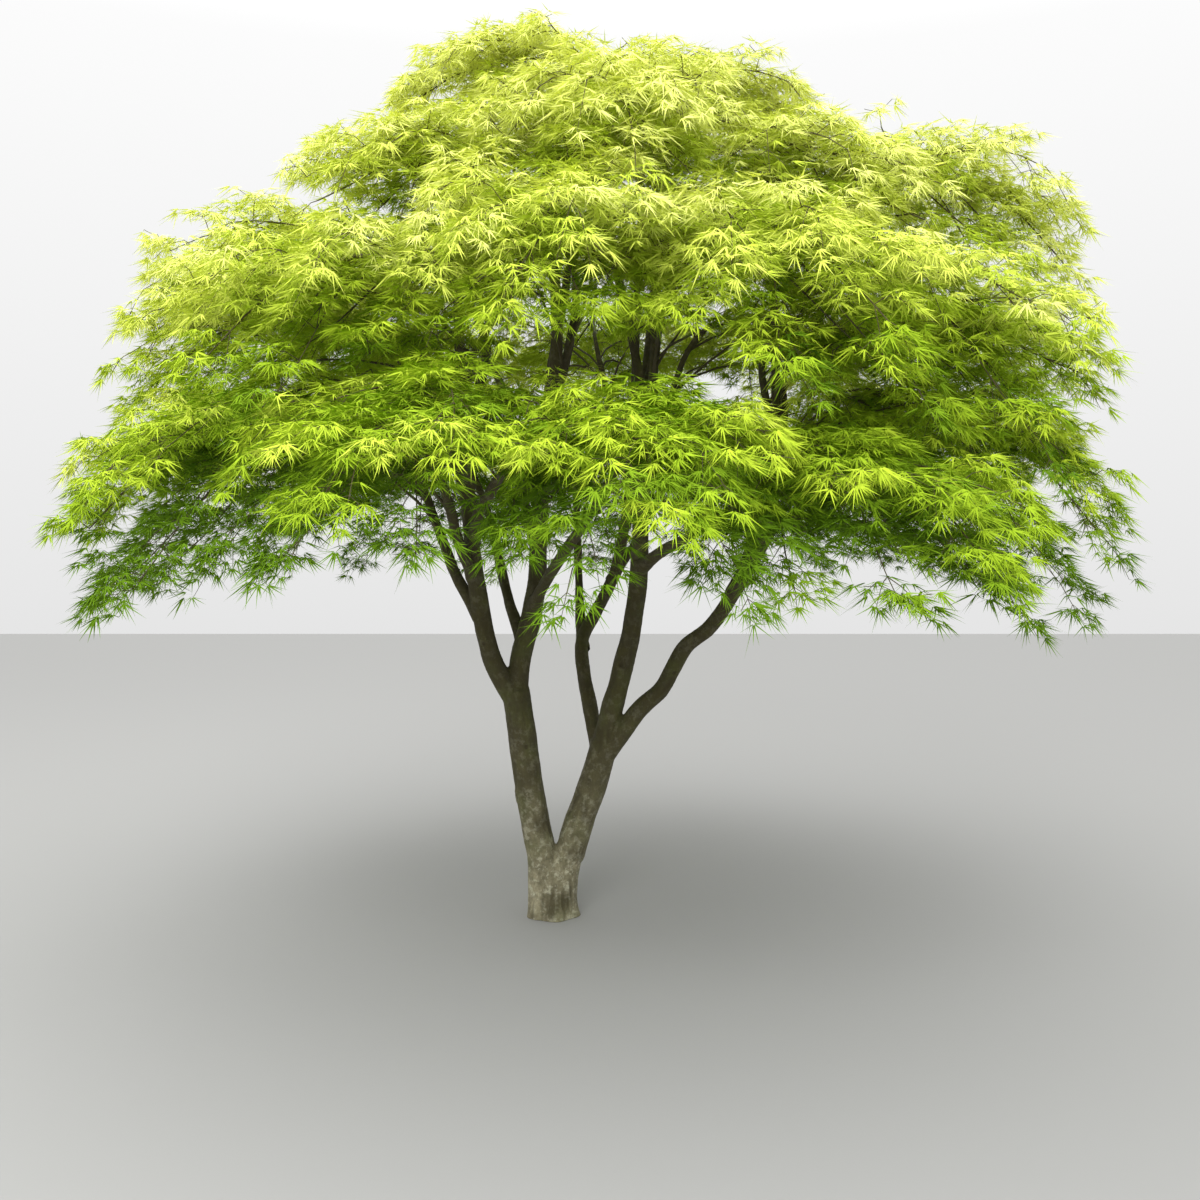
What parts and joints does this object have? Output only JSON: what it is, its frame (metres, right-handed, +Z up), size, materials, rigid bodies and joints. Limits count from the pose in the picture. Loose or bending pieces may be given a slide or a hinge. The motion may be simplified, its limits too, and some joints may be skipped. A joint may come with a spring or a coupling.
{
  "type": "rooted japanese maple tree",
  "caption": "Rooted lace-leaf Japanese maple: a low-forked trunk, fanning limbs and a wide dome of drooping tiers of fine fresh-green leaves.",
  "frame": {"origin": "middle of the flat cut under the trunk, at ground level", "axes": "+Z up, -Y towards the side that the picture shows, +X to the right in it"},
  "size_m": [3.9308, 3.899, 3.397],
  "materials": {
    "bark": "rough weathered grey-brown bark with pale lichen, matte",
    "foliage": "thin fresh lime-green leaves, soft satin"
  },
  "bodies": {
    "root": {"trunk": "bark", "stem_left": "bark", "stem_right": "bark", "limb_left": "bark", "limb_inner": "bark", "limb_main": "bark", "limb_outer": "bark", "limb_back": "bark", "bough_front_low_left": "bark", "bough_front_low_middle": "bark", "bough_front_low_right": "bark", "bough_right_low": "bark", "bough_right_rear_low": "bark", "bough_rear_low_right": "bark", "bough_rear_low_left": "bark", "bough_left_rear_low": "bark", "bough_left_low": "bark", "bough_left_front_low": "bark", "bough_front_mid_left": "bark", "bough_front_mid": "bark", "bough_front_mid_right": "bark", "bough_right_mid_front": "bark", "bough_right_mid": "bark", "bough_right_rear_mid": "bark", "bough_rear_mid": "bark", "bough_left_rear_mid": "bark", "bough_left_mid": "bark", "bough_high_front": "bark", "bough_high_right": "bark", "bough_high_rear_left": "bark", "bough_high_front_left": "bark", "foliage_front_low_left": "foliage", "foliage_front_low_middle": "foliage", "foliage_front_low_right": "foliage", "foliage_right_low": "foliage", "foliage_right_rear_low": "foliage", "foliage_rear_low_right": "foliage", "foliage_rear_low_left": "foliage", "foliage_left_rear_low": "foliage", "foliage_left_low": "foliage", "foliage_left_front_low": "foliage", "foliage_front_mid_left": "foliage", "foliage_front_mid": "foliage", "foliage_front_mid_right": "foliage", "foliage_right_mid_front": "foliage", "foliage_right_mid": "foliage", "foliage_right_rear_mid": "foliage", "foliage_rear_mid": "foliage", "foliage_left_rear_mid": "foliage", "foliage_left_mid": "foliage", "foliage_high_front": "foliage", "foliage_high_right": "foliage", "foliage_right_shoulder": "foliage", "foliage_high_rear_right": "foliage", "foliage_high_rear_left": "foliage", "foliage_high_left": "foliage", "foliage_high_front_left": "foliage", "foliage_top_left": "foliage", "foliage_top_right": "foliage"}
  },
  "joints": []
}
